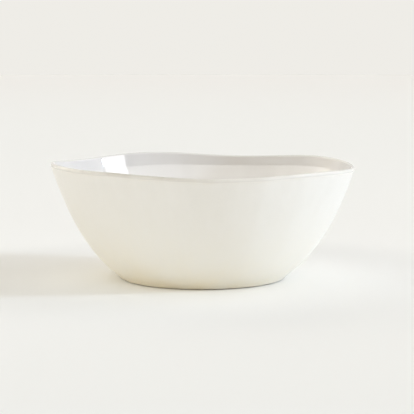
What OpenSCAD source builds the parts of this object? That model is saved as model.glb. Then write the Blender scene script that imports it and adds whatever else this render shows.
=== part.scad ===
// Porcelain serving bowl: a wide, thick-walled bowl with a gently waving hand-shaped rim.
// Millimetres, +Z up. The origin is the centre of the foot, on the surface that the bowl stands on.

/* [Bowl] */
// Width across the rim
rim_d = 250; // [220:1:280]
// Height of the rim above the table, on average
rim_h = 94; // [80:0.5:110]
// Width across the foot line, where the outside wall turns under
base_d = 136; // [120:1:150]
// Thickness of the rounded rim
rim_t = 3.5; // [3:0.1:5]
// Thickness of the wall where it meets the floor
wall_t = 4.8; // [4:0.1:6]
// Thickness of the floor
floor_t = 5.4; // [4.5:0.1:7]

/* [Wall curve] */
// Slope of the outside wall where it leaves the foot line, in degrees
foot_slope = 35; // [30:1:40]
// Slope of the outside wall under the rim, in degrees
rim_slope = 72; // [66:1:78]
// How far the wall holds its lower slope, as a share of the rim's radius
foot_pull = 0.246; // [0.2:0.002:0.28]
// How far the wall holds its upper slope, as a share of the rim's radius
rim_pull = 0.376; // [0.3:0.002:0.42]

/* [Hand shaping] */
// How far the rim swells into a soft triangle, as a share of its radius
corner_swell = 0.012; // [0:0.002:0.03]
// Direction of one of the three soft corners, in degrees from +X
corner_turn = 180; // [0:5:180]
// Strength of the slow wave in the rim's height
wave_strength = 1; // [0:0.25:1.5]

/* [Foot and glaze] */
// Height of the unglazed foot ring
foot_h = 1.6; // [1.2:0.1:2.4]
// Width of the foot ring's face
foot_w = 5.5; // [4:0.5:8]
// How far the foot ring stands in from the foot line
foot_inset = 1.8; // [1.2:0.1:3]
// Thickness of the glaze
glaze_t = 0.35; // [0.25:0.05:0.5]

/* [Smoothness] */
// Flats around the bowl
turns = 72; // [48:12:84]

/* [Hidden] */

// The rim's wave is a sum of slow waves: [crests around the rim, height, direction of a crest]
RIM_WAVES = [
    [1, 1.20, 229],
    [2, 0.60, 15],
    [3, 0.40, 96],
    [4, 0.95, 31],
    [5, 0.80, 36],
    [6, 0.20, 56]
];

rim_r = rim_d / 2;
base_r = base_d / 2;
lip_r = rim_t / 2;
floor_z = foot_h + floor_t;
floor_r = base_r * 0.78;       // edge of the flat middle of the floor
ring_out = base_r - foot_inset;
ring_in = ring_out - foot_w;
ring_edge = 0.5;               // chamfer on the foot ring's edges
wipe_gap = 1;                  // bare clay between the foot ring and the glaze in the recess
blend_t = 0.12;                // share of the wall's curve taken up by the blend into the floor

wall_steps = 12;
lip_steps = 6;
blend_steps = 4;

porcelain = [0.93, 0.92, 0.89];
bare_clay = [0.86, 0.82, 0.74];
gloss_white = [0.97, 0.97, 0.98];
satin_white = [0.94, 0.93, 0.88];

function unit(v) = v / norm(v);
function heading(a) = [cos(a), sin(a)];
function left_of(d) = [-d[1], d[0]];
function sum(list, i = 0) = i < len(list) ? list[i] + sum(list, i + 1) : 0;

// ---- the bowl's outline, seen from above, and its rim's height ----

// The last term puts the soft triangle's bounding box back over the foot.
function outline(a) =
    1 + corner_swell * (cos(3 * (a - corner_turn)) - cos(a + 3 * corner_turn));

function wave(a) =
    wave_strength * sum([for (w = RIM_WAVES) w[1] * cos(w[0] * (a - w[2]))]);

// ---- one section through the wall, as [radius, height] points ----
// It runs from the foot line up the outside, over the rim and down the inside to the floor.
// The wall's solid side is always on its left.

function bezier(c, t) =
    pow(1 - t, 3) * c[0] + 3 * pow(1 - t, 2) * t * c[1]
    + 3 * (1 - t) * pow(t, 2) * c[2] + pow(t, 3) * c[3];

function bezier_heading(c, t) =
    unit(pow(1 - t, 2) * (c[1] - c[0]) + 2 * (1 - t) * t * (c[2] - c[1])
    + pow(t, 2) * (c[3] - c[2]));

// Control points of the outside wall in direction a. It ends where the rim's rounding begins.
function wall_curve(a) =
    let (foot_line = [base_r, foot_h])
    let (crest = [rim_r * outline(a) - lip_r, rim_h + wave(a) - lip_r])
    let (top = crest - lip_r * left_of(heading(rim_slope)))
    [
        foot_line,
        foot_line + rim_r * foot_pull * heading(foot_slope),
        top - rim_r * rim_pull * heading(rim_slope),
        top
    ];

function inner_wall(c, t) =
    bezier(c, t) + (rim_t * t + wall_t * (1 - t)) * left_of(bezier_heading(c, t));

// The blend from the wall into the flat floor turns about the corner where their lines meet.
function floor_blend(c, t) =
    let (start = inner_wall(c, blend_t))
    let (fall = bezier_heading(c, blend_t))
    let (corner = [start[0] - (start[1] - floor_z) * fall[0] / fall[1], floor_z])
    pow(1 - t, 2) * start + 2 * (1 - t) * t * corner + pow(t, 2) * [floor_r, floor_z];

function glazed_section(a) =
    let (c = wall_curve(a))
    let (centre = c[3] + lip_r * left_of(heading(rim_slope)))
    concat(
        [for (i = [0 : wall_steps - 1]) bezier(c, i / wall_steps)],
        [for (i = [0 : lip_steps]) centre + lip_r * heading(rim_slope - 90 + i * 180 / lip_steps)],
        [for (i = [1 : wall_steps]) inner_wall(c, 1 - (1 - blend_t) * i / wall_steps)],
        [for (i = [1 : blend_steps]) floor_blend(c, i / blend_steps)],
        [[floor_r / 2, floor_z]]
    );

// The clay under the glaze: the same section, one thickness of glaze further in.
function clay_section(s) =
    let (last = len(s) - 1)
    [for (i = [0 : last])
        i == 0 ? s[0] - [glaze_t / sin(foot_slope), 0]
        : i == last ? s[last] - [0, glaze_t]
        : s[i] + glaze_t * left_of(unit(s[i + 1] - s[i - 1]))
    ];

// ---- skins: section points carried round the bowl ----

step = 360 / turns;
glazed = [for (j = [0 : turns - 1]) glazed_section(j * step)];
clay = [for (s = glazed) clay_section(s)];
rings = len(glazed[0]);
glaze_line = wall_steps;       // ring where the inside glaze, wrapped over the rim, meets the outside

function skin_points(sections) =
    [for (j = [0 : turns - 1]) for (p = sections[j]) [p[0] * cos(j * step), p[0] * sin(j * step), p[1]]];

function at(i, j, base = 0) = base + (j % turns) * rings + i;
function turned(tri, flip) = flip ? [tri[0], tri[2], tri[1]] : tri;

// Faces between rings first and last of a skin. flip faces them into the wall.
function skin_faces(first, last, base = 0, flip = false) =
    [for (j = [0 : turns - 1]) for (i = [first : last - 1]) for (half = [0, 1])
        turned(
            half == 0 ? [at(i, j, base), at(i + 1, j, base), at(i + 1, j + 1, base)]
            : [at(i, j, base), at(i + 1, j + 1, base), at(i, j + 1, base)],
            flip
        )
    ];

// Narrow band that closes two skins along one ring.
function edge_faces(ring, outer, inner, flip = false) =
    [for (j = [0 : turns - 1]) for (half = [0, 1])
        turned(
            half == 0 ? [at(ring, j, outer), at(ring, j + 1, outer), at(ring, j + 1, inner)]
            : [at(ring, j, outer), at(ring, j + 1, inner), at(ring, j, inner)],
            flip
        )
    ];

// Fan from a skin's last ring to the point at the centre of the floor.
function centre_faces(pole, base = 0, flip = false) =
    [for (j = [0 : turns - 1])
        turned([at(rings - 1, j + 1, base), at(rings - 1, j, base), pole], flip)
    ];

// ---- sub-parts ----

// Fired porcelain wall and floor, with a flat underside
module porcelain_body() {
    pole = turns * rings;
    color(porcelain)
    polyhedron(
        points = concat(skin_points(clay), [[0, 0, floor_z - glaze_t]]),
        faces = concat(
            skin_faces(0, rings - 1),
            centre_faces(pole),
            [[for (j = [0 : turns - 1]) at(0, j)]]
        ),
        convexity = 6
    );
}

// Bare ring that the bowl stands on, joined under the body
module foot_ring() {
    color(bare_clay)
    rotate_extrude($fn = 144)
    polygon([
        [ring_in, foot_h],
        [ring_in, ring_edge],
        [ring_in + ring_edge, 0],
        [ring_out - ring_edge, 0],
        [ring_out, ring_edge],
        [ring_out, foot_h]
    ]);
}

// Clear gloss glaze that lines the bowl and wraps over the rim
module inside_glaze() {
    inner = turns * rings;
    poles = 2 * turns * rings;
    color(gloss_white)
    polyhedron(
        points = concat(
            skin_points(glazed),
            skin_points(clay),
            [[0, 0, floor_z], [0, 0, floor_z - glaze_t]]
        ),
        faces = concat(
            skin_faces(glaze_line, rings - 1),
            skin_faces(glaze_line, rings - 1, inner, true),
            edge_faces(glaze_line, 0, inner),
            centre_faces(poles),
            centre_faces(poles + 1, inner, true)
        ),
        convexity = 6
    );
}

// Satin glaze on the outside wall, from the foot line to the glaze line under the rim
module outside_glaze() {
    inner = turns * rings;
    color(satin_white)
    polyhedron(
        points = concat(skin_points(glazed), skin_points(clay)),
        faces = concat(
            skin_faces(0, glaze_line),
            skin_faces(0, glaze_line, inner, true),
            edge_faces(0, 0, inner),
            edge_faces(glaze_line, 0, inner, true)
        ),
        convexity = 6
    );
}

// Gloss glaze in the shallow recess inside the foot ring
module base_glaze() {
    pool_r = ring_in - wipe_gap;
    color(gloss_white)
    rotate_extrude($fn = 144)
    polygon([
        [0, foot_h],
        [0, foot_h - glaze_t],
        [pool_r - glaze_t, foot_h - glaze_t],
        [pool_r, foot_h]
    ]);
}

porcelain_body();
foot_ring();
inside_glaze();
outside_glaze();
base_glaze();
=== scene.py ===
import math

import bpy
import numpy as np
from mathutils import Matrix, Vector, noise


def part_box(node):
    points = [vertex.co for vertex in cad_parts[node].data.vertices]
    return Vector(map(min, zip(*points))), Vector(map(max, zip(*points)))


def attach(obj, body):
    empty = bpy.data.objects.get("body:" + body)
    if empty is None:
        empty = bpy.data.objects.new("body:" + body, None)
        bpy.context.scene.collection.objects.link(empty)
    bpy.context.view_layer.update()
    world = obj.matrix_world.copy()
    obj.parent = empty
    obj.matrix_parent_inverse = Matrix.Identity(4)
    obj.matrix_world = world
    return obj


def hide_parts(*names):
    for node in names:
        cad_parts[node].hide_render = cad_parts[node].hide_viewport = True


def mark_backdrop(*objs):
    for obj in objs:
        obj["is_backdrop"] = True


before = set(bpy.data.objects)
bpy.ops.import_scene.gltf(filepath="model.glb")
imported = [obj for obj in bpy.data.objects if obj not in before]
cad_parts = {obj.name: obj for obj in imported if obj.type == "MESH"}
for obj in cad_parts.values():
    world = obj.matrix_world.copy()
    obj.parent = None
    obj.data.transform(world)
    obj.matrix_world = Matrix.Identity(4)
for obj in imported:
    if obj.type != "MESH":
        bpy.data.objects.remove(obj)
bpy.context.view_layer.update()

# ---- sizes, in metres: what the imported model's boxes give, and the bowl's own proportions ----

MM = 0.001
ring_low, ring_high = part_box("foot_ring")
pool_low, pool_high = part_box("base_glaze")
lining_low, lining_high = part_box("inside_glaze")

RIM_H = 94 * MM                                       # the rim's height above the table, on average
LIP_R = 1.75 * MM                                     # half the rim's thickness
WALL_T = 4.8 * MM                                     # wall where it meets the floor
FLOOR_T = 5.4 * MM                                    # thickness of the floor
RING_W = 5.5 * MM                                     # width of the foot ring
FOOT_INSET = 1.8 * MM                                 # how far the ring stands in from the foot line
WIPE_GAP = 1 * MM                                     # bare clay between the ring and the glaze inside it

FOOT_H = ring_high.z                                  # height of the foot ring
RING_OUT = ring_high.x                                # its outer radius
RING_IN = RING_OUT - RING_W
GLAZE = pool_high.z - pool_low.z                      # thickness of the glaze
RIM_R = (lining_high.x - lining_low.x) / 2            # half the width across the rim
BASE_R = RING_OUT + FOOT_INSET                        # radius of the foot line
FLOOR_Z = FOOT_H + FLOOR_T
FLOOR_R = BASE_R * 0.78                               # flat middle of the floor
POOL_R = RING_IN - WIPE_GAP                           # glaze in the recess under the bowl
WALL_LENGTH = RIM_R * 0.9                             # roughly, along the outside wall

FOOT_SLOPE = math.radians(35)                         # outside wall at the foot line
RIM_SLOPE = math.radians(72)                          # outside wall under the rim
FOOT_PULL = 0.246                                     # how far the wall holds each slope, in rim radii
RIM_PULL = 0.376
CORNER_SWELL = 0.012                                  # soft triangle of the rim's outline
CORNER_TURN = math.pi
BLEND_T = 0.12                                        # share of the wall that blends into the floor

# Lower edge of the steeper collar inside the rim: (direction in degrees, distance below the rim in mm)
COLLAR_LINE = [
    (0, 8.6), (45, 8.0), (60, 7.8), (74, 7.3), (88, 8.5), (102, 9.9), (118, 10.7), (132, 10.4), (160, 9.5),
    (215, 9.2), (270, 9.5), (320, 9.0), (360, 8.6)
]
COLLAR_DEPTH = 0.36 * MM                              # how far the wall is scooped out at that line
COLLAR_EASE = 16 * MM                                 # how far below it the scoop runs out
COLLAR_SOFT = 0.006 * MM                              # rounding of the line

SHADED_LIP_TURN = 242                                       # where the glaze drawn thin over the rim's crest is darkened most, in degrees: painted shade on the lip's front-left side, away from the light
SHADED_LIP_SPREAD = 34
FOOT_SHADE_TURN = math.radians(215)                         # where the painted warm shade near the foot is strongest: the front left, away from the light

# Slow waves in the rim's height: (crests around the rim, height in mm, direction of a crest)
RIM_WAVES = [(1, 1.20, 229), (2, 0.60, 15), (3, 0.40, 96), (4, 0.95, 31), (5, 0.80, 36), (6, 0.20, 56)]

# Soft upright ridges that the maker's hands left in the wall:
# (direction, height in mm, half-width, rounding of the crest), in degrees
RIDGES = [
    (-91, 0.35, 7, 2.0), (-68.5, 1.15, 6.5, 1.0), (-52, 0.80, 6, 1.2), (-30, 0.50, 7, 2.2),
    (9, 0.40, 8, 2.2), (38, 0.55, 8, 2.2), (71, 0.45, 9, 2.2), (98, 0.35, 8, 2.2),
    (124.7, 1.15, 6, 0.7), (138.1, 1.15, 6, 0.7), (152, 0.60, 6, 0.7), (176, 0.30, 8, 2.2),
    (197, 0.40, 8, 2.2), (219, 0.55, 7, 2.2), (243, 0.40, 7, 2.2)
]

TURNS = 288                                           # directions round the bowl
OUT_RINGS = 56                                        # rings of points up the outside wall
GAP_RINGS = 6                                         # from the lining's edge to the lip
LIP_RINGS = 20                                        # over the lip
IN_RINGS = 64                                         # down the inside wall
COLLAR_RINGS = 16                                     # of those, the ones over the collar
BLEND_RINGS = 10                                      # from the wall into the floor
FLOOR_RINGS = 12

BEAD = 0.9 * MM                                       # how far the outside glaze gathers over the foot line
BEAD_REACH = 2.2 * MM                                 # how far up the wall the gathering begins
FOOT_EDGE = 0.2 * MM                                  # rounding of the foot ring's edges
SLIP = 1.4 * MM                                       # fillet of slip that joins the ring under the body
SEED = 11                                             # moves every noise to another place


# ---- the bowl's shape ----

def heading(angle):
    return np.array([math.cos(angle), math.sin(angle)])


def left_of(v):
    return np.stack([-v[..., 1], v[..., 0]], -1)


def unit(v):
    return v / np.linalg.norm(v, axis=-1, keepdims=True)


def smooth(x):
    return x * x * (3 - 2 * x)


def degrees_from(a, turn):
    """How far each direction lies from a turn in degrees, from -180 to 180."""
    return (np.degrees(a) - turn + 180) % 360 - 180


def outline(a):
    return 1 + CORNER_SWELL * (np.cos(3 * (a - CORNER_TURN)) - np.cos(a + 3 * CORNER_TURN))


def wave(a):
    return sum(h * MM * np.cos(n * (a - math.radians(turn))) for n, h, turn in RIM_WAVES)


def ridges(a):
    total = np.zeros_like(a)
    for turn, height, half_width, crest in RIDGES:
        away = degrees_from(a, turn)
        total += height * MM * np.exp((crest - np.hypot(away, crest)) / half_width)
    return total - total.mean()


def ring_noise(a, scale, offset):
    """Smooth value between about -1 and 1 that closes on itself round the bowl."""
    return np.array([
        noise.noise(Vector((math.cos(t) * scale, math.sin(t) * scale, offset + SEED))) for t in a
    ])


def surface_noise(points, size, offset):
    """Smooth value between about -1 and 1 at each point, with features of about that size."""
    scaled = points.reshape(-1, 3) / size
    values = [noise.noise(Vector((x, y, z + offset + SEED))) for x, y, z in scaled]
    return np.array(values).reshape(points.shape[:-1])


def bezier(c, t):
    t = np.asarray(t)[..., None]
    c = [p[:, None, :] for p in c]
    return (1 - t) ** 3 * c[0] + 3 * (1 - t) ** 2 * t * c[1] + 3 * (1 - t) * t ** 2 * c[2] + t ** 3 * c[3]


def bezier_heading(c, t):
    t = np.asarray(t)[..., None]
    c = [p[:, None, :] for p in c]
    slope = (1 - t) ** 2 * (c[1] - c[0]) + 2 * (1 - t) * t * (c[2] - c[1]) + t ** 2 * (c[3] - c[2])
    return unit(slope)


def wall_curve(a, lip_r):
    """Control points of the outside wall in each direction. It ends where the lip's rounding begins."""
    foot_line = np.broadcast_to(np.array([BASE_R, FOOT_H]), (len(a), 2))
    round_r = RIM_R * outline(a) + ridges(a) - lip_r
    crest = np.stack([round_r, RIM_H + wave(a) - lip_r], -1)
    top = crest - lip_r[:, None] * left_of(heading(RIM_SLOPE))
    lower = foot_line + RIM_R * FOOT_PULL * heading(FOOT_SLOPE)
    upper = top - RIM_R * RIM_PULL * heading(RIM_SLOPE)
    return [foot_line, lower, upper, top]


def collar(drop, line):
    """How far the inside wall is scooped out, at a distance below the rim's inner edge.

    It makes a slightly steeper collar, a soft line where the collar ends, and an easier slope below it.
    """
    fall = COLLAR_DEPTH * drop / line
    rise = COLLAR_DEPTH * (1 - (drop - line) / COLLAR_EASE)
    lower_of_both = (fall + rise - np.sqrt((fall - rise) ** 2 + COLLAR_SOFT ** 2)) / 2
    gone = smooth(np.clip((drop - line - COLLAR_EASE * 0.55) / (COLLAR_EASE * 0.9), 0, 1))
    return np.clip(lower_of_both, 0, None) * (1 - gone)


def glazed_sections(a):
    """Section points [direction, ring, (radius, height)] from the foot line, over the rim, to the floor."""
    lip_r = LIP_R * (1 + 0.05 * ring_noise(a, 2.2, 5.0))
    c = wall_curve(a, lip_r)
    drip = (0.55 + 0.5 * ring_noise(a, 6.0, 9.0)) * MM          # how far the lining's edge runs down
    t_glaze = 1 - np.clip(drip, 0.1 * MM, None) / WALL_LENGTH
    ease = 0.5 - 0.5 * np.cos(np.pi * np.arange(OUT_RINGS) / OUT_RINGS)
    outside = bezier(c, t_glaze[:, None] * ease)
    gap_t = t_glaze[:, None] + (1 - t_glaze[:, None]) * np.arange(GAP_RINGS) / GAP_RINGS
    gap = bezier(c, gap_t)
    centre = c[3] + lip_r[:, None] * left_of(heading(RIM_SLOPE))
    turn = RIM_SLOPE - np.pi / 2 + np.pi * np.arange(LIP_RINGS + 1) / LIP_RINGS
    lip = centre[:, None] + lip_r[:, None, None] * np.stack([np.cos(turn), np.sin(turn)], -1)

    def inner(t):
        thick = 2 * lip_r[:, None] * t + WALL_T * (1 - t)
        return bezier(c, t) + thick[..., None] * left_of(bezier_heading(c, t))

    # Rings down the inside: even over the collar, close together at its line, wider apart below it.
    small_steps = np.broadcast_to(1 - (1 - BLEND_T) * np.arange(401) / 400, (len(a), 401))
    fallen = np.diff(inner(small_steps), axis=1, prepend=lip[:, -1:])
    fallen = np.cumsum(np.linalg.norm(fallen, axis=-1), 1)
    turns, drops = np.array(COLLAR_LINE).T
    line = np.interp(np.degrees(a), turns, drops)[:, None] * MM
    whole = fallen[:, -1:]
    below = np.linspace(0, 1, IN_RINGS - COLLAR_RINGS + 1)[1:] ** 1.25
    wanted = np.concatenate([
        (line - 0.3 * MM) * np.linspace(0, 1, COLLAR_RINGS - 3)[1:],
        line + np.array([-0.1, 0.1, 0.3, 0.6]) * MM,
        line + 0.6 * MM + (whole - line - 0.6 * MM) * below
    ], 1)
    down = np.stack([np.interp(w, f, t) for w, f, t in zip(wanted, fallen, small_steps)])
    inside = inner(down)
    drop = np.concatenate([lip[:, -1:], inside], 1)
    drop = np.cumsum(np.linalg.norm(np.diff(drop, axis=1), axis=-1), 1)
    inside = inside - collar(drop, line)[..., None] * left_of(bezier_heading(c, down))
    start = inside[:, -1:]
    fall = bezier_heading(c, down[:, -1:])
    corner = start - (start[..., 1:] - FLOOR_Z) * fall / fall[..., 1:]
    t = (np.arange(1, BLEND_RINGS + 1) / BLEND_RINGS)[:, None]
    blend = (1 - t) ** 2 * start + 2 * (1 - t) * t * corner + t ** 2 * np.array([FLOOR_R, FLOOR_Z])
    radii = FLOOR_R * (1 - np.arange(1, FLOOR_RINGS) / FLOOR_RINGS)
    floor = np.broadcast_to(np.stack([radii, radii * 0 + FLOOR_Z], -1), (len(a), FLOOR_RINGS - 1, 2))
    return np.concatenate([outside, gap, lip, inside, blend, floor], 1)


def carried_round(a, sections):
    """Points [direction, ring, (x, y, z)] of sections set round the bowl."""
    r, z = sections[..., 0], sections[..., 1]
    return np.stack([r * np.cos(a)[:, None], r * np.sin(a)[:, None], z], -1)


angles = 2 * np.pi * np.arange(TURNS) / TURNS
base = glazed_sections(angles)
RINGS = base.shape[1]
GLAZE_LINE = OUT_RINGS                                # ring where the lining's edge lies
LIP_START = OUT_RINGS + GAP_RINGS
LIP_END = LIP_START + LIP_RINGS

# into_wall points from the glazed surface into the clay, in the plane of the section.
into_wall = np.empty_like(base)
into_wall[:, 1:-1] = left_of(unit(base[:, 2:] - base[:, :-2]))
into_wall[:, 0] = [-1 / math.sin(FOOT_SLOPE), 0]      # along the flat underside
into_wall[:, -1] = [0, -1]

# Hand-made unevenness: slow on both faces, finer on the outside.
round_points = carried_round(angles, base)
slow = surface_noise(round_points, 34 * MM, 0.0)
fine = surface_noise(round_points, 9 * MM, 40.0)
ring_index = np.arange(RINGS)
outside_share = np.clip((LIP_START - ring_index) / 6, 0, 1)
fade = np.clip(np.minimum(ring_index, RINGS - ring_index) / 12, 0, 1)
uneven = (0.05 * slow + 0.05 * slow * outside_share + 0.018 * fine * outside_share) * MM * fade
base = base - uneven[..., None] * into_wall
clay = base + GLAZE * into_wall


def edge_taper(distance, width, least):
    """Share of the glaze's thickness at a distance from its edge: it rounds off to the least share."""
    x = np.clip(distance / width, 0, 1)
    return least + (1 - least) * np.sqrt(1 - (1 - x) ** 2)


steps = np.linalg.norm(np.diff(base, axis=1), axis=-1)
along = np.concatenate([np.zeros((TURNS, 1)), np.cumsum(steps, 1)], 1)
from_line = along - along[:, GLAZE_LINE:GLAZE_LINE + 1]


def glazed(share):
    """The glaze's outer surface where it has that share of its full thickness."""
    return clay - (GLAZE * share)[..., None] * into_wall


lining_skin = glazed(edge_taper(from_line, 0.7 * MM, 0.75))
outer_skin = glazed(edge_taper(-from_line, 0.5 * MM, 0.72))
bead = BEAD * (1 + 0.35 * ring_noise(angles, 7.0, 50.0))[:, None] * np.exp(-(along / BEAD_REACH) ** 2)
outer_skin[..., 1] -= np.minimum(bead, FOOT_H * 0.8)


# ---- meshes ----

def grid_faces(first, last, offset=0, flip=False):
    """Faces between rings first and last of a skin."""
    j, i = np.meshgrid(np.arange(TURNS), np.arange(first, last), indexing="ij")
    k = (j + 1) % TURNS
    quads = np.stack([j * RINGS + i, k * RINGS + i, k * RINGS + i + 1, j * RINGS + i + 1], -1) + offset
    quads = quads.reshape(-1, 4)
    return quads[:, ::-1] if flip else quads


def band_faces(ring, outer, inner, flip=False):
    """Narrow band that closes two skins along one ring."""
    j = np.arange(TURNS)
    k = (j + 1) % TURNS
    quads = np.stack([k * RINGS + ring + outer, j * RINGS + ring + outer,
                      j * RINGS + ring + inner, k * RINGS + ring + inner], -1)
    return quads[:, ::-1] if flip else quads


def fan_faces(ring, pole, offset=0, flip=False):
    """Fan from a skin's last ring to the point at the middle of the floor."""
    j = np.arange(TURNS)
    k = (j + 1) % TURNS
    tris = np.stack([j * RINGS + ring + offset, k * RINGS + ring + offset, np.full(TURNS, pole)], -1)
    return tris[:, ::-1] if flip else tris


def make_piece(name, points, faces, node, attributes=None, crease=50):
    """A closed mesh piece that stands for a CAD node, without the points that no face uses."""
    faces = [tuple(int(i) for i in f) for part in faces for f in part]
    used = sorted({i for f in faces for i in f})
    renumber = {old: new for new, old in enumerate(used)}
    mesh = bpy.data.meshes.new(name)
    mesh.from_pydata([tuple(points[i]) for i in used], [], [[renumber[i] for i in f] for f in faces])
    for key, values in (attributes or {}).items():
        layer = mesh.attributes.new(key, "FLOAT", "POINT")
        layer.data.foreach_set("value", np.asarray(values, np.float32)[used])
    mesh.validate()
    mesh.shade_smooth()
    mesh.set_sharp_from_angle(angle=math.radians(crease))
    piece = bpy.data.objects.new(name, mesh)
    bpy.context.scene.collection.objects.link(piece)
    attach(piece, "root")
    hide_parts(node)
    return piece


def flat(points):
    return points.reshape(-1, 3)


def make_lining():
    """Gloss glaze from its edge under the rim, over the rim and down to the middle of the floor."""
    inner = TURNS * RINGS
    pole = 2 * inner
    points = np.concatenate([
        flat(carried_round(angles, lining_skin)), flat(carried_round(angles, clay)),
        [[0, 0, FLOOR_Z], [0, 0, FLOOR_Z - GLAZE]]
    ])
    last = RINGS - 1
    faces = [
        grid_faces(GLAZE_LINE, last), grid_faces(GLAZE_LINE, last, inner, True),
        band_faces(GLAZE_LINE, 0, inner), fan_faces(last, pole), fan_faces(last, pole + 1, inner, True)
    ]
    # The glaze draws thin over the crest of the rim and pools where the wall turns into the floor. The thin
    # crest is also darkened most on the front left, away from the light: painted shade on the lip.
    crest_ring = LIP_START + LIP_RINGS * 0.42
    thin = np.exp(-((ring_index - crest_ring) / (LIP_RINGS * 0.4)) ** 2)
    thin = thin * (0.25 + 0.75 * np.exp(-(degrees_from(angles, SHADED_LIP_TURN) / SHADED_LIP_SPREAD) ** 2))[:, None]
    inner_share = np.clip((ring_index - (LIP_START + LIP_RINGS * 0.3)) / (LIP_RINGS * 0.35), 0, 1)
    blend_ring = LIP_END + IN_RINGS + BLEND_RINGS * 0.6
    pooled = np.exp(-((ring_index - blend_ring) / (BLEND_RINGS * 1.4)) ** 2)

    def spread(values):
        """The values at every point of both skins, and at the two middle points."""
        whole = np.broadcast_to(values, (TURNS, RINGS))
        return np.concatenate([whole.ravel(), whole.ravel(), whole[0, -1:], whole[0, -1:]])

    return make_piece(
        "inside_glaze_lining", points, faces, "inside_glaze",
        {"thin": spread(thin), "pooled": spread(pooled), "inside": spread(inner_share)}
    )


def make_outside():
    """Satin glaze on the outside wall, from the foot line up to the lining's edge."""
    inner = TURNS * RINGS
    points = np.concatenate([flat(carried_round(angles, outer_skin)), flat(carried_round(angles, clay))])
    faces = [
        grid_faces(0, GLAZE_LINE), grid_faces(0, GLAZE_LINE, inner, True),
        band_faces(0, 0, inner), band_faces(GLAZE_LINE, 0, inner, True)
    ]
    edge = np.exp(-along[0] / (1.6 * MM)) + 0.8 * np.exp(from_line[0] / (0.8 * MM))
    edge = np.where(ring_index <= GLAZE_LINE, edge, 0)
    # Painted warm shade near the foot: strongest within about 18 mm of the foot line and on the front left,
    # away from the light; carried by the low value.
    low = np.where(ring_index <= GLAZE_LINE, np.exp(-along[0] / (18 * MM)), 0)
    low = np.clip(np.outer(0.6 + 0.5 * np.cos(angles - FOOT_SHADE_TURN), low), 0, 1).ravel()
    # The height value runs from the foot line to the lining's edge; the satin glaze uses it to paint the wall
    # lighter towards the foot: painted light from the floor.
    height = smooth(np.clip(along[0] / along[0, GLAZE_LINE], 0, 1))
    return make_piece(
        "outside_glaze_coat", points, faces, "outside_glaze",
        {"thin": np.tile(edge, 2 * TURNS), "low": np.tile(low, 2), "height": np.tile(height, 2 * TURNS)}
    )


def make_body():
    """The fired body under the glazes, with its bare flat underside."""
    pole = TURNS * RINGS
    under_radii = [0.985, 0.93, 0.86, 0.6, 0.3]
    start = pole + 2
    rows = [
        np.stack([clay[:, 0, 0] * share * np.cos(angles), clay[:, 0, 0] * share * np.sin(angles),
                  np.full(TURNS, FOOT_H)], -1)
        for share in under_radii
    ]
    points = np.concatenate([
        flat(carried_round(angles, clay)), [[0, 0, FLOOR_Z - GLAZE], [0, 0, FOOT_H]], *rows
    ])
    j = np.arange(TURNS)
    k = (j + 1) % TURNS
    loops = [j * RINGS] + [start + n * TURNS + j for n in range(len(under_radii))]
    next_loops = [k * RINGS] + [start + n * TURNS + k for n in range(len(under_radii))]
    under = [
        np.stack([loops[n], loops[n + 1], next_loops[n + 1], next_loops[n]], -1)
        for n in range(len(under_radii))
    ]
    under.append(np.stack([loops[-1], np.full(TURNS, pole + 1), next_loops[-1]], -1))
    faces = [grid_faces(0, RINGS - 1), fan_faces(RINGS - 1, pole), *under]
    return make_piece("porcelain_body_clay", points, faces, "porcelain_body")


def lathe(name, profile, node, sway, attributes, closed=True):
    """Turns a profile of (radius, height) points round the bowl's axis. sway is added to the radii."""
    count = len(profile)
    r = profile[:, 0] + sway
    z = np.broadcast_to(profile[:, 1], r.shape)
    points = flat(carried_round(angles, np.stack([r, z], -1)))
    faces = []
    j = np.arange(TURNS)
    k = (j + 1) % TURNS
    for i in range(count if closed else count - 1):
        n = (i + 1) % count
        faces.append(np.stack([j * count + i, k * count + i, k * count + n, j * count + n], -1))
    if not closed:
        points = np.concatenate([points, [[0, 0, profile[0, 1]], [0, 0, profile[-1, 1]]]])
        first, last = TURNS * count, TURNS * count + 1
        faces.append(np.stack([k * count, j * count, np.full(TURNS, first)], -1))
        end = count - 1
        faces.append(np.stack([j * count + end, k * count + end, np.full(TURNS, last)], -1))
    extra = 0 if closed else 2
    spread = {key: np.concatenate([np.tile(v, TURNS), np.full(extra, v[0])]) for key, v in attributes.items()}
    return make_piece(name, points, faces, node, spread, crease=60)


def arc(centre_r, centre_z, radius, start, end, count=6):
    """Profile points on an arc, from a start to an end angle in degrees."""
    turn = np.radians(np.linspace(start, end, count + 1))
    return [(centre_r + radius * math.cos(t), centre_z + radius * math.sin(t)) for t in turn]


def make_foot():
    """Bare foot ring with rounded edges, and the slip that joins it under the body."""
    inner_slip = 0.4 * SLIP
    profile = np.array(
        arc(RING_OUT - FOOT_EDGE, FOOT_EDGE, FOOT_EDGE, -90, 0)
        + arc(RING_OUT + SLIP, FOOT_H - SLIP, SLIP, 180, 90, 8)[1:]
        + arc(RING_IN - inner_slip, FOOT_H - inner_slip, inner_slip, 90, 0, 4)
        + [(RING_IN, FOOT_EDGE)]
        + arc(RING_IN + FOOT_EDGE, FOOT_EDGE, FOOT_EDGE, 180, 270)[1:]
        + [(RING_IN + (RING_OUT - RING_IN) * s, 0.0) for s in (0.25, 0.4, 0.55, 0.7, 0.82)]
    )[::-1]
    height = profile[:, 1]
    worn = np.clip(1 - height / (0.6 * MM), 0, 1)
    free = (height > 0.01 * MM) & (height < FOOT_H - 0.01 * MM)
    sway = ring_noise(angles, 5.0, 21.0)[:, None] * 0.09 * MM * free
    return lathe("foot_ring_bare", profile, "foot_ring", sway, {"worn": worn})


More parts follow.
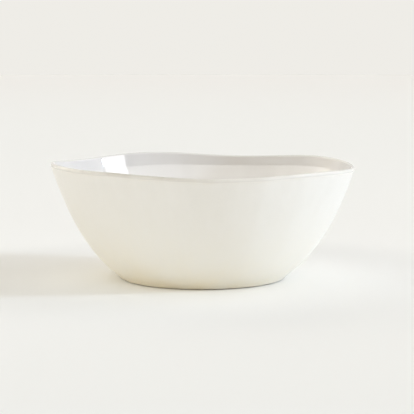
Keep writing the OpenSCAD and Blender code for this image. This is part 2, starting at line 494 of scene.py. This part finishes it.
def make_pool():
    """Gloss glaze in the recess inside the foot ring, with a rounded, slightly wandering edge."""
    edge = GLAZE * 0.9
    rows = [(POOL_R * s, FOOT_H - GLAZE) for s in (0.25, 0.5, 0.75, 0.9, 0.96)]
    rows += arc(POOL_R - edge, FOOT_H, GLAZE, -75, 0, 8)
    profile = np.array(rows)
    share = np.clip((profile[:, 0] / POOL_R - 0.9) / 0.1, 0, 1)
    sway = (ring_noise(angles, 4.0, 33.0)[:, None] * 0.35 - 0.35) * MM * share[None, :]
    ring = np.exp(-(POOL_R - profile[:, 0]) / (1.5 * MM))
    return lathe("base_glaze_pool", profile, "base_glaze", sway, {"thin": ring}, closed=False)


pieces = {
    "body": make_body(),
    "foot": make_foot(),
    "lining": make_lining(),
    "outside": make_outside(),
    "pool": make_pool()
}


# ---- materials ----

class Nodes:
    """Short hand for building a node tree."""

    def __init__(self, tree, coordinates="Object"):
        self.tree = tree
        self.place = tree.nodes.new("ShaderNodeTexCoord").outputs[coordinates]

    def link(self, source, target):
        self.tree.links.new(source, target)

    def noise(self, size, detail=2.0, roughness=0.5, stretch=None, distortion=0.0):
        """Noise with features of about that size in metres. Its output lies near 0.5."""
        node = self.tree.nodes.new("ShaderNodeTexNoise")
        node.inputs["Scale"].default_value = 1 / size
        node.inputs["Detail"].default_value = detail
        node.inputs["Roughness"].default_value = roughness
        node.inputs["Distortion"].default_value = distortion
        place = self.place
        if stretch:
            mapping = self.tree.nodes.new("ShaderNodeMapping")
            mapping.inputs["Scale"].default_value = stretch
            self.link(place, mapping.inputs["Vector"])
            place = mapping.outputs["Vector"]
        self.link(place, node.inputs["Vector"])
        return node.outputs["Fac"]

    def specks(self, spacing, radius, share):
        """1 inside scattered round specks, 0 elsewhere. share is how many cells have one."""
        cells = self.tree.nodes.new("ShaderNodeTexVoronoi")
        cells.inputs["Scale"].default_value = 1 / spacing
        self.link(self.place, cells.inputs["Vector"])
        near = self.remap(cells.outputs["Distance"], radius, radius * 0.4, 0, 1)
        split = self.tree.nodes.new("ShaderNodeSeparateColor")
        self.link(cells.outputs["Color"], split.inputs["Color"])
        chosen = self.math("LESS_THAN", split.outputs["Red"], share)
        return self.math("MULTIPLY", near, chosen)

    def axes(self):
        """The X, Y and Z of each point, as a node's outputs."""
        split = self.tree.nodes.new("ShaderNodeSeparateXYZ")
        self.link(self.place, split.inputs["Vector"])
        return split.outputs

    def distance(self):
        """How far each point lies from the object's origin."""
        node = self.tree.nodes.new("ShaderNodeVectorMath")
        node.operation = "LENGTH"
        self.link(self.place, node.inputs[0])
        return node.outputs["Value"]

    def attribute(self, name):
        """A value that the mesh holds at its points."""
        node = self.tree.nodes.new("ShaderNodeAttribute")
        node.attribute_name = name
        return node.outputs["Fac"]

    def remap(self, value, low, high, to_low, to_high):
        """Value from low..high moved to to_low..to_high, and held at its ends."""
        node = self.tree.nodes.new("ShaderNodeMapRange")
        for key, number in zip(("From Min", "From Max", "To Min", "To Max"), (low, high, to_low, to_high)):
            node.inputs[key].default_value = number
        self.link(value, node.inputs["Value"])
        return node.outputs["Result"]

    def ease(self, value, low, high, to_low, to_high):
        """The same, with soft ends."""
        result = self.remap(value, low, high, to_low, to_high)
        result.node.interpolation_type = "SMOOTHSTEP"
        return result

    def math(self, operation, *values):
        node = self.tree.nodes.new("ShaderNodeMath")
        node.operation = operation
        for socket, value in zip(node.inputs, values):
            if isinstance(value, (int, float)):
                socket.default_value = value
            else:
                self.link(value, socket)
        return node.outputs["Value"]

    def mix(self, share, a, b):
        """Colour between a and b. Each is a colour or another node's output."""
        node = self.tree.nodes.new("ShaderNodeMix")
        node.data_type = "RGBA"
        self.link(share, node.inputs["Factor"])
        for socket, value in zip((node.inputs[6], node.inputs[7]), (a, b)):
            if isinstance(value, tuple):
                socket.default_value = (*value, 1)
            else:
                self.link(value, socket)
        return node.outputs[2]


class Look(Nodes):
    """A material that is a single Principled shader with nodes on its inputs."""

    def __init__(self, name):
        self.material = bpy.data.materials.new(name)
        self.material.use_nodes = True
        super().__init__(self.material.node_tree)
        self.shader = self.tree.nodes["Principled BSDF"]

    def bump(self, layers):
        """Adds up (height, metres, strength) layers of relief into the shader's normal."""
        normal = None
        for height, distance, strength in layers:
            node = self.tree.nodes.new("ShaderNodeBump")
            node.inputs["Distance"].default_value = distance
            node.inputs["Strength"].default_value = strength
            self.link(height, node.inputs["Height"])
            if normal:
                self.link(normal, node.inputs["Normal"])
            normal = node.outputs["Normal"]
        self.link(normal, self.shader.inputs["Normal"])

    def finish(self, color, roughness, ior=1.5, specular=0.5):
        self.link(color, self.shader.inputs["Base Color"])
        self.link(roughness, self.shader.inputs["Roughness"])
        self.shader.inputs["IOR"].default_value = ior
        self.shader.inputs["Specular IOR Level"].default_value = specular
        return self.material


def gloss_glaze(name, white, shade, lip=None):
    """Clear gloss glaze over white clay: nearly even, with a faint orange-peel and a few pinholes."""
    n = Look(name)
    clouds = n.remap(n.noise(38 * MM, 3), 0.35, 0.65, 0, 1)
    color = n.mix(clouds, white, shade)
    # On the lining the lip takes the lip colour and the inside takes the darker white: painted shade inside
    # the bowl.
    if lip:
        color = n.mix(n.attribute("inside"), lip, color)
    # Darkened where the mesh's thin value is high: glaze drawn thin at its edges and over the crest, and on
    # the lining also painted shade on the lip's shaded side.
    drawn_thin = n.math("MULTIPLY", n.attribute("thin"), n.remap(n.noise(14 * MM, 2), 0.35, 0.65, 0.55, 1.0))
    color = n.mix(drawn_thin, color, (0.66, 0.635, 0.59))
    pooled = n.math("MULTIPLY", n.attribute("pooled"), 0.3)
    color = n.mix(pooled, color, (0.76, 0.785, 0.79))
    specks = n.math("MULTIPLY", n.specks(7 * MM, 0.035, 0.10), 0.35)
    color = n.mix(specks, color, (0.50, 0.43, 0.34))
    roughness = n.remap(n.noise(11 * MM, 4, 0.6), 0.3, 0.7, 0.03, 0.075)
    pinholes = n.math("MULTIPLY", n.specks(9 * MM, 0.03, 0.16), -1.0)
    n.bump([
        (n.noise(5.5 * MM, 1), 0.02 * MM, 0.5),
        (n.noise(1.6 * MM, 1), 0.004 * MM, 0.4),
        (pinholes, 0.08 * MM, 0.6)
    ])
    return n.finish(color, roughness, ior=1.52)


def satin_glaze():
    """Soft matt glaze: chalky fine grain, slow clouds of tone, faint upright wiping marks, painted light
    towards the foot and painted warm shade near the foot.
    """
    n = Look("satin_glaze_outside")
    clouds = n.remap(n.noise(30 * MM, 4, 0.55), 0.3, 0.7, 0, 1)
    # Painted light: the wall is painted darker towards the rim and lighter and warmer towards the foot,
    # standing in for light from the floor below.
    upper = n.mix(clouds, (0.89, 0.884, 0.863), (0.87, 0.864, 0.841))
    lower = n.mix(clouds, (0.99, 0.978, 0.918), (0.98, 0.965, 0.895))
    color = n.mix(n.attribute("height"), lower, upper)
    wiped = n.remap(n.noise(6 * MM, 3, 0.5, stretch=(1, 1, 0.12)), 0.4, 0.75, 0, 0.35)
    color = n.mix(wiped, color, (0.935, 0.93, 0.915))
    grain = n.remap(n.noise(0.55 * MM, 2, 0.7), 0.35, 0.65, 0, 0.5)
    color = n.mix(grain, color, (0.945, 0.93, 0.885))
    # Painted warm shade near the foot, where the mesh's low value is high.
    painted_foot_shade = n.math("MULTIPLY", n.attribute("low"), n.remap(n.noise(22 * MM, 2), 0.35, 0.7, 0.55, 1.0))
    color = n.mix(painted_foot_shade, color, (0.98, 0.88, 0.66))
    drawn_thin = n.math("MULTIPLY", n.attribute("thin"), n.remap(n.noise(9 * MM, 2), 0.35, 0.7, 0.1, 0.5))
    color = n.mix(drawn_thin, color, (0.84, 0.79, 0.69))
    specks = n.math("MULTIPLY", n.specks(5 * MM, 0.04, 0.12), 0.3)
    color = n.mix(specks, color, (0.52, 0.45, 0.35))
    roughness = n.remap(n.noise(8 * MM, 4, 0.65), 0.3, 0.7, 0.32, 0.46)
    n.bump([
        (n.noise(7 * MM, 3, 0.5, stretch=(1, 1, 0.2)), 0.03 * MM, 0.5),
        (n.noise(1.1 * MM, 3, 0.6), 0.012 * MM, 0.6),
        (n.noise(0.3 * MM, 2, 0.7), 0.006 * MM, 0.7)
    ])
    return n.finish(color, roughness, ior=1.48, specular=0.4)


def bare_porcelain():
    """Unglazed fired clay: dry, faintly sandy, a little warmer than the glaze."""
    n = Look("porcelain_bare_clay")
    clouds = n.remap(n.noise(16 * MM, 4, 0.6), 0.3, 0.7, 0, 1)
    color = n.mix(clouds, (0.82, 0.79, 0.725), (0.76, 0.725, 0.65))
    sand = n.remap(n.noise(0.5 * MM, 3, 0.75), 0.45, 0.75, 0, 0.6)
    color = n.mix(sand, color, (0.64, 0.59, 0.51))
    roughness = n.remap(n.noise(3 * MM, 3), 0.3, 0.7, 0.66, 0.82)
    n.bump([(n.noise(1.4 * MM, 3, 0.6), 0.03 * MM, 0.6), (n.noise(0.35 * MM, 2, 0.7), 0.015 * MM, 0.8)])
    return n.finish(color, roughness, ior=1.5, specular=0.3)


def worn_foot():
    """Bare foot: sanded smooth and rubbed grey where it has stood on tables."""
    n = Look("bare_foot_rubbed")
    clouds = n.remap(n.noise(12 * MM, 4, 0.6), 0.3, 0.7, 0, 1)
    # The ring's clay is painted lighter than the body's bare clay: painted light that lightens the shade
    # where the foot meets the table.
    color = n.mix(clouds, (0.90, 0.86, 0.77), (0.86, 0.81, 0.71))
    sand = n.remap(n.noise(0.45 * MM, 3, 0.75), 0.45, 0.75, 0, 0.7)
    color = n.mix(sand, color, (0.68, 0.62, 0.52))
    patches = n.remap(n.noise(4 * MM, 4, 0.65, distortion=0.6), 0.42, 0.68, 0, 0.4)
    rubbed = n.math("MULTIPLY", n.attribute("worn"), patches)
    color = n.mix(rubbed, color, (0.60, 0.575, 0.53))
    dry = n.remap(n.noise(2.5 * MM, 3), 0.3, 0.7, 0.7, 0.85)
    roughness = n.math("SUBTRACT", dry, n.math("MULTIPLY", n.attribute("worn"), 0.22))
    n.bump([(n.noise(1.2 * MM, 3, 0.6), 0.04 * MM, 0.6), (n.noise(0.3 * MM, 2, 0.7), 0.02 * MM, 0.8)])
    return n.finish(color, roughness, ior=1.5, specular=0.3)


looks = {
    "body": bare_porcelain(),
    "foot": worn_foot(),
    # The lining's inside is painted darker than the same glaze on its lip and in the recess under the bowl:
    # painted shade inside the bowl.
    "lining": gloss_glaze("gloss_glaze_inside", (0.776, 0.765, 0.765), (0.761, 0.748, 0.745),
                          lip=(0.88, 0.868, 0.84)),
    "outside": satin_glaze(),
    "pool": gloss_glaze("gloss_glaze_base", (0.86, 0.855, 0.835), (0.83, 0.82, 0.795))
}
for part, piece in pieces.items():
    piece.data.materials.append(looks[part])


# ---- studio: a pale floor under an even sky of soft panels ----

FLOOR_REACH = 6.0                                     # radius of the floor
FLOOR_ROWS = [0.15, 0.3, 0.6, 1.0, 1.6, 2.4, 3.6, 4.8, FLOOR_REACH]
FLOOR_TURNS = 96
FLOOR_LEVEL = -0.02 * MM                              # just clear of the foot's face
PAPER = (0.888, 0.893, 0.893)                         # the paper's tone around the bowl, lighter than further away: a painted pool of light
PAPER_CLOUDS = (0.884, 0.889, 0.889)                  # and where it is slightly darker
BACK_PAPER_SHADE = (0.872, 0.880, 0.880)                    # painted shade on the paper a good way behind the bowl
FAR_PAPER_SHADE = (0.8615, 0.8517, 0.844)                   # painted shade on the paper at its far edge, where it meets the horizon
NEAR_PAPER_SHADE = (0.852, 0.863, 0.866)                    # painted shade on the paper in the foreground


def make_floor():
    points = [(0, 0, FLOOR_LEVEL)]
    for j in range(FLOOR_TURNS):
        a = 2 * math.pi * j / FLOOR_TURNS
        points += [(r * math.cos(a), r * math.sin(a), FLOOR_LEVEL) for r in FLOOR_ROWS]
    count = len(FLOOR_ROWS)
    faces = []
    for j in range(FLOOR_TURNS):
        here = 1 + j * count
        there = 1 + (j + 1) % FLOOR_TURNS * count
        faces.append((0, here, there))
        faces += [(here + i, here + i + 1, there + i + 1, there + i) for i in range(count - 1)]
    mesh = bpy.data.meshes.new("studio_floor")
    mesh.from_pydata(points, [], faces)
    mesh.shade_smooth()
    floor = bpy.data.objects.new("studio_floor", mesh)
    bpy.context.scene.collection.objects.link(floor)
    n = Look("studio_floor_paper")
    color = n.mix(n.remap(n.noise(0.35, 3), 0.3, 0.7, 0, 1), PAPER, PAPER_CLOUDS)
    # Painted light falloff: the paper is painted darker a good way behind the bowl, at its far edge and in
    # the foreground, leaving a lighter pool around the bowl.
    color = n.mix(n.ease(n.distance(), 0.5, 1.5, 0, 1), color, BACK_PAPER_SHADE)
    color = n.mix(n.ease(n.distance(), 1.0, FLOOR_REACH, 0, 1), color, FAR_PAPER_SHADE)
    color = n.mix(n.ease(n.axes()["Y"], -0.15, -0.55, 0, 1), color, NEAR_PAPER_SHADE)
    roughness = n.remap(n.noise(0.02, 2), 0.3, 0.7, 0.85, 0.95)
    n.link(color, n.shader.inputs["Base Color"])
    n.link(roughness, n.shader.inputs["Roughness"])
    n.shader.inputs["Specular IOR Level"].default_value = 0.0
    mesh.materials.append(n.material)
    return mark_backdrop(floor)


# The light's tints. A panel's radiance is its brightness times its tint.
WHITE = (1.0, 1.0, 1.0)
PALE = (1.02, 1.0, 0.92)
CREAM = (1.06, 1.0, 0.90)
WARM = (1.2, 1.0, 0.72)
COOL = (0.845, 1.0, 1.21)
BACKDROP = (1.02, 1.0, 0.947)

# Soft panels of the sky as the bowl sees them, in degrees:
# (name, azimuth, half-width, lowest, highest, softness of the sides, of low and high edge, brightness, tint)
# Azimuth 0 is +X, -90 is where the camera stands.
PANELS = [
    ("horizon", 0, 181, -91, 3, 1, 1, 0.845, BACKDROP),
    ("low_back", 80, 55, 3, 16, 20, 4, 0.84, BACKDROP),
    ("low_left", 175, 40, 3, 18, 20, 4, 0.58, WARM),
    ("low_front", -100, 35, 3, 18, 16, 4, 0.54, WARM),
    ("sun", -4.0, 2.7, 15, 21, 1, 1, 102, COOL),
    ("key", -10.5, 5.8, 20, 36, 1, 3, 7.0, WHITE),
    ("glow_right", 16, 18, 18, 50, 12, 10, 2.6, WHITE),
    ("wall_back_right", 60, 28, 16, 50, 16, 8, 0.5, WARM),
    ("wall_back", 108, 32, 16, 50, 16, 8, 1.3, CREAM),
    ("wall_left", 182, 55, 18, 36, 1.5, 3, 0.65, PALE),
    ("wall_front", -80, 43, 18, 36, 4, 2, 0.24, WARM),
    ("strip_right", -45, 32, 36, 45, 12, 1.2, 3.1, PALE),
    ("strip_front", -100, 25, 36, 45, 12, 1.2, 3.5, PALE),
    ("strip_left", -144, 22, 36, 45, 12, 1.2, 2.9, PALE),
    ("strip_back_left", 166, 30, 36, 45, 12, 1.2, 3.3, PALE),
    ("box_front", -85, 70, 45, 62, 12, 3, 0.4, PALE),
    ("box_left", -170, 38, 45, 62, 12, 3, 0.6, PALE),
    ("box_back", 90, 70, 50, 66, 12, 3, 0.17, PALE),
    ("top", 0, 181, 64, 91, 1, 6, 0.5, WHITE)
]

# The upper and lower edges of these panels drop as they run away from the front.
BOW = 0.00125
BOWED = ("wall_left", "wall_front", "strip_right", "strip_front", "strip_left", "strip_back_left")


def make_sky():
    """World light: the sum of the panels, each a soft-edged patch of direction."""
    world = bpy.data.worlds.new("studio_air")
    world.use_nodes = True
    n = Nodes(world.node_tree, "Generated")
    degrees = 180 / math.pi
    axes = n.axes()
    elevation = n.math("MULTIPLY", n.math("ARCSINE", axes["Z"]), degrees)
    azimuth = n.math("MULTIPLY", n.math("ARCTAN2", axes["Y"], axes["X"]), degrees)
    from_front = n.math("WRAP", n.math("ADD", azimuth, 90), 180, -180)
    bowed = n.math("ADD", elevation, n.math("MULTIPLY", n.math("MULTIPLY", from_front, from_front), BOW))
    total = None
    for name, centre, half, low, high, side_soft, edge_soft, brightness, tint in PANELS:
        away = n.math("ABSOLUTE", n.math("WRAP", n.math("SUBTRACT", azimuth, centre), 180, -180))
        height = bowed if name in BOWED else elevation
        inside = n.ease(away, half - side_soft / 2, half + side_soft / 2, 1, 0)
        above = n.ease(height, low - edge_soft / 2, low + edge_soft / 2, 0, 1)
        below = n.ease(height, high - edge_soft / 2, high + edge_soft / 2, 1, 0)
        share = n.math("MULTIPLY", n.math("MULTIPLY", inside, above), below)
        lit = n.tree.nodes.new("ShaderNodeVectorMath")
        lit.operation = "MULTIPLY_ADD"
        lit.label = name
        lit.inputs[0].default_value = [brightness * channel for channel in tint]
        n.link(share, lit.inputs[1])
        if total:
            n.link(total, lit.inputs[2])
        total = lit.outputs["Vector"]
    background = world.node_tree.nodes["Background"]
    n.link(total, background.inputs["Color"])
    background.inputs["Strength"].default_value = 1.0
    bpy.context.scene.world = world


make_floor()
make_sky()


# ---- camera ----

CAMERA_PLACE = (3.6 * MM, -1.25, 201.9 * MM)
LOOKS_DOWN = 6.565                                    # degrees below level
LENS = 132.27                                         # focal length on a 36 mm wide sensor

camera_data = bpy.data.cameras.new("camera")
camera_data.lens = LENS
camera_data.sensor_width = 36
camera = bpy.data.objects.new("camera", camera_data)
camera.location = CAMERA_PLACE
camera.rotation_euler = (math.radians(90 - LOOKS_DOWN), 0, 0)
bpy.context.scene.collection.objects.link(camera)
bpy.context.scene.camera = camera
bpy.context.scene.view_settings.view_transform = "Standard"
